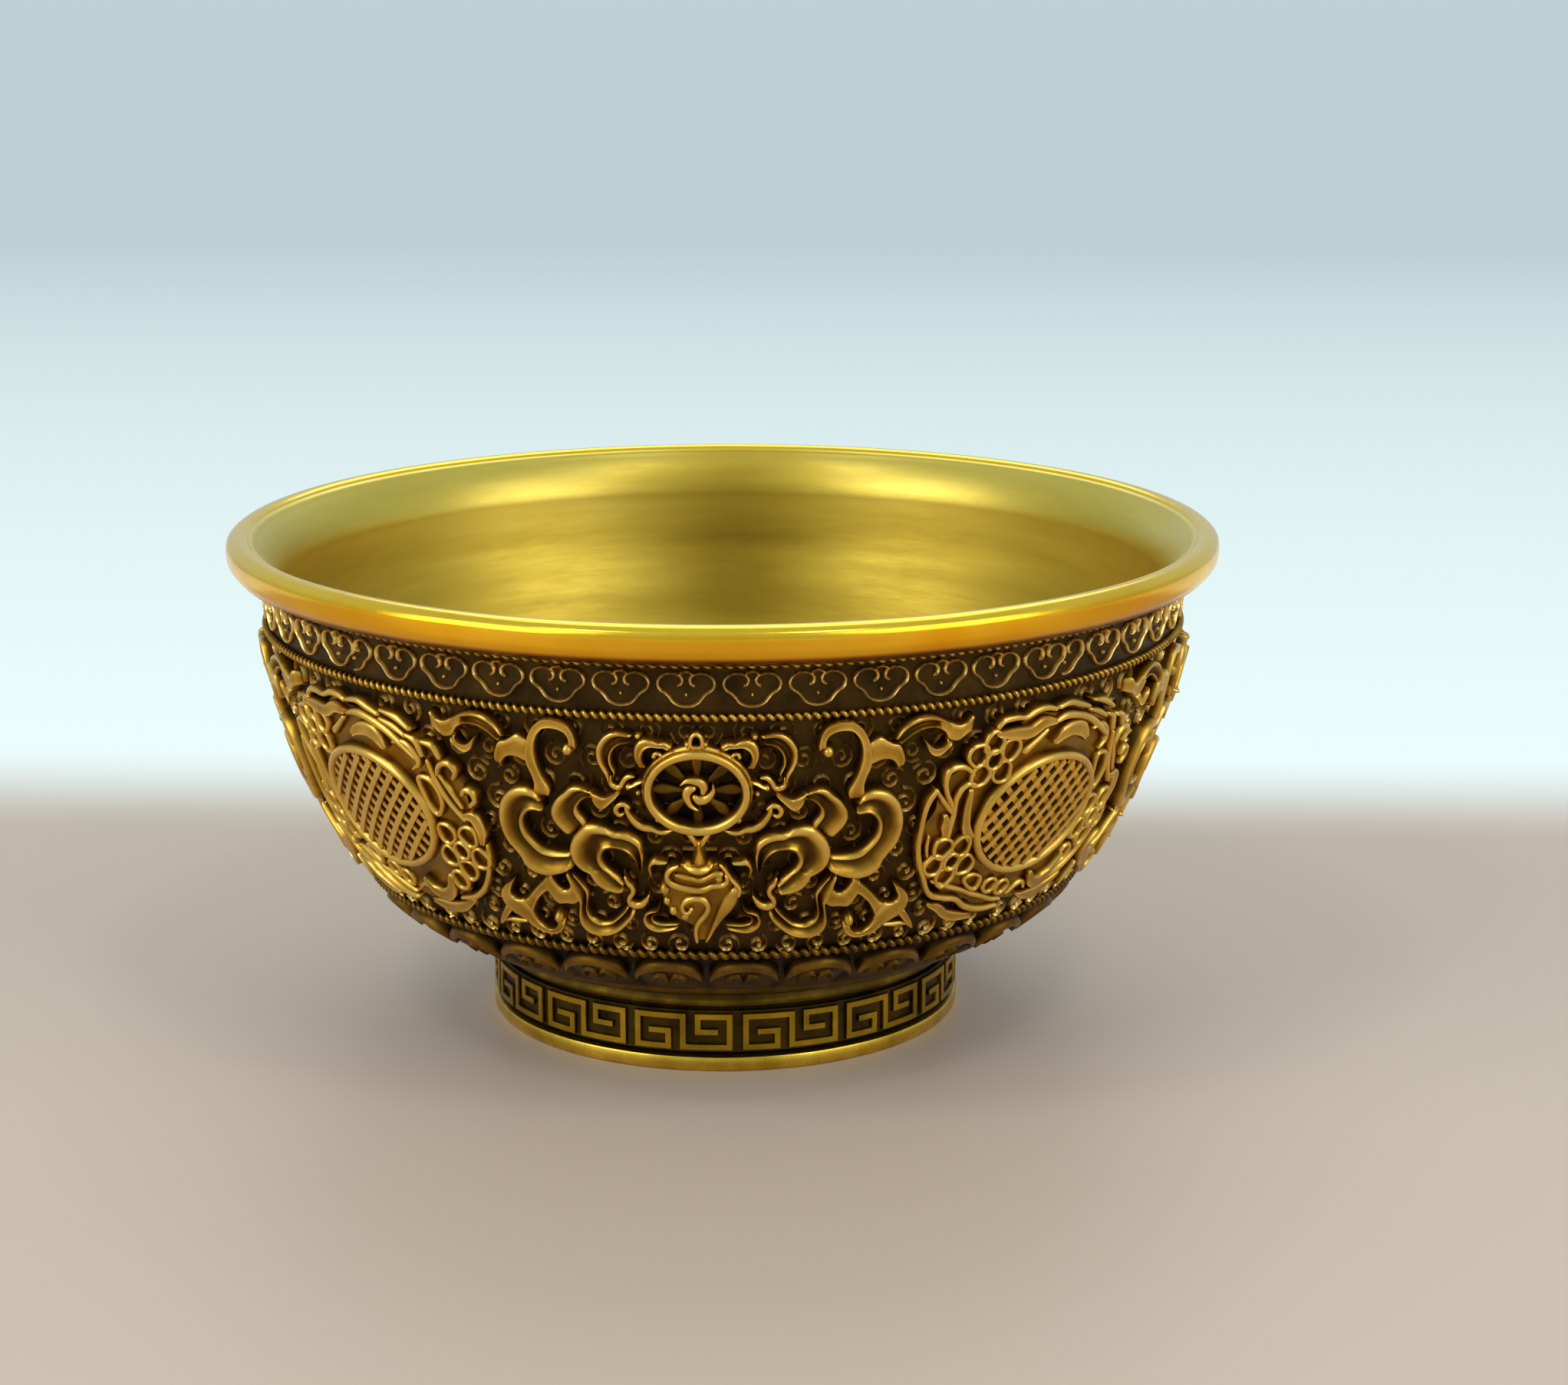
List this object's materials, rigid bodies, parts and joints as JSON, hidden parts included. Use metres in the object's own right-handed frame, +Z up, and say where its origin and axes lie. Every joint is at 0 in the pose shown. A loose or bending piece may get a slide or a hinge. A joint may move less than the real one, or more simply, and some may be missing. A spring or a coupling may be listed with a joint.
{
  "type": "relief bowl",
  "caption": "Round metal bowl on a ring foot, with a heavy polished lip and a raised frieze of emblems, ribbons and medallions; holds food, water or small things",
  "frame": {"origin": "centre of the foot's underside, on the surface the bowl stands on", "axes": "+Z up along the bowl's axis; -Y is the front, with the wheel above the conch; +X to the right"},
  "size_m": [0.12, 0.12, 0.0604],
  "materials": {
    "polished_brass": "polished",
    "brushed_brass": "brushed round",
    "relief_brass": "satin, dark in the recesses",
    "aged_brass": "dark patina",
    "foot_brass": "dark patina with a polished base band"
  },
  "bodies": {
    "root": {"bowl_liner": "brushed_brass", "rim_ring": "polished_brass", "upper_rope": "relief_brass", "middle_rope": "relief_brass", "lower_rope": "relief_brass", "lotus_collar": "aged_brass", "foot_ring": "foot_brass", "fret_band": "relief_brass", "jacket_front": "aged_brass", "ribbons_front_left": "relief_brass", "ribbons_front_right": "relief_brass", "wheel_front": "relief_brass", "conch_front": "relief_brass", "medallion_1": "relief_brass", "jacket_right": "aged_brass", "ribbons_right_left": "relief_brass", "ribbons_right_right": "relief_brass", "parasol_right": "relief_brass", "banner_right": "relief_brass", "medallion_2": "relief_brass", "jacket_back": "aged_brass", "ribbons_back_left": "relief_brass", "ribbons_back_right": "relief_brass", "lotus_flower_back": "relief_brass", "vase_back": "relief_brass", "medallion_3": "relief_brass", "jacket_left": "aged_brass", "ribbons_left_left": "relief_brass", "ribbons_left_right": "relief_brass", "fish_pair_left": "relief_brass", "endless_knot_left": "relief_brass", "medallion_4": "relief_brass"}
  },
  "joints": []
}
